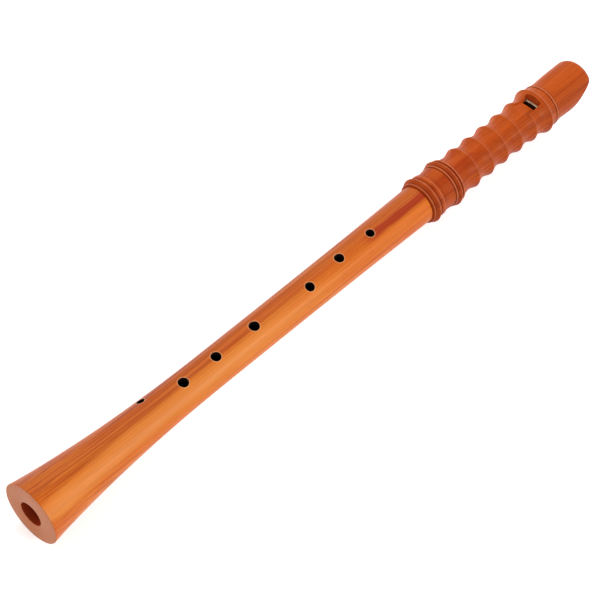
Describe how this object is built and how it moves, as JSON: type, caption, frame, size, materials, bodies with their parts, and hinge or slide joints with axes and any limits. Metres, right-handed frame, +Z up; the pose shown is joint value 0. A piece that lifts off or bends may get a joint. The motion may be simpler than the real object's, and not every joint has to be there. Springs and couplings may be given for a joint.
{
  "type": "tenor recorder",
  "caption": "Wooden tenor recorder: flared-foot body with finger holes and corked tenon, and a socketed head with rippled grip, window, beak and fitted block.",
  "frame": {"origin": "middle of the recorder's length, under the bore, on the plane that the recorder lies on", "axes": "+X along the bore from the foot to the beak, +Z up through the finger holes, the thumb hole looks down"},
  "size_m": [0.6396, 0.0548, 0.0548],
  "materials": {
    "plum_wood": "oiled satin, warm orange brown with darker streaks along the grain",
    "red_wood": "oiled satin, redder and darker brown",
    "cedar": "raw, matt pinkish tan",
    "cork": "matt tan cork with dark flecks"
  },
  "bodies": {
    "body": {"body_joint": "plum_wood"},
    "cork": {"tenon_cork": "cork"},
    "head": {"head_joint": "red_wood"},
    "block": {"block": "cedar"}
  },
  "joints": [
    {"name": "head_turn", "type": "hinge", "parent": "body", "child": "cork", "pos_m": [0.11825, 0, 0.0274], "axis": [1, 0, 0], "continuous": true},
    {"name": "head_pull", "type": "slide", "parent": "cork", "child": "head", "axis": [1, 0, 0], "range_m": [0, 0.04]},
    {"name": "block_push", "type": "slide", "parent": "head", "child": "block", "axis": [1, 0, 0], "range_m": [0, 0.075]}
  ]
}
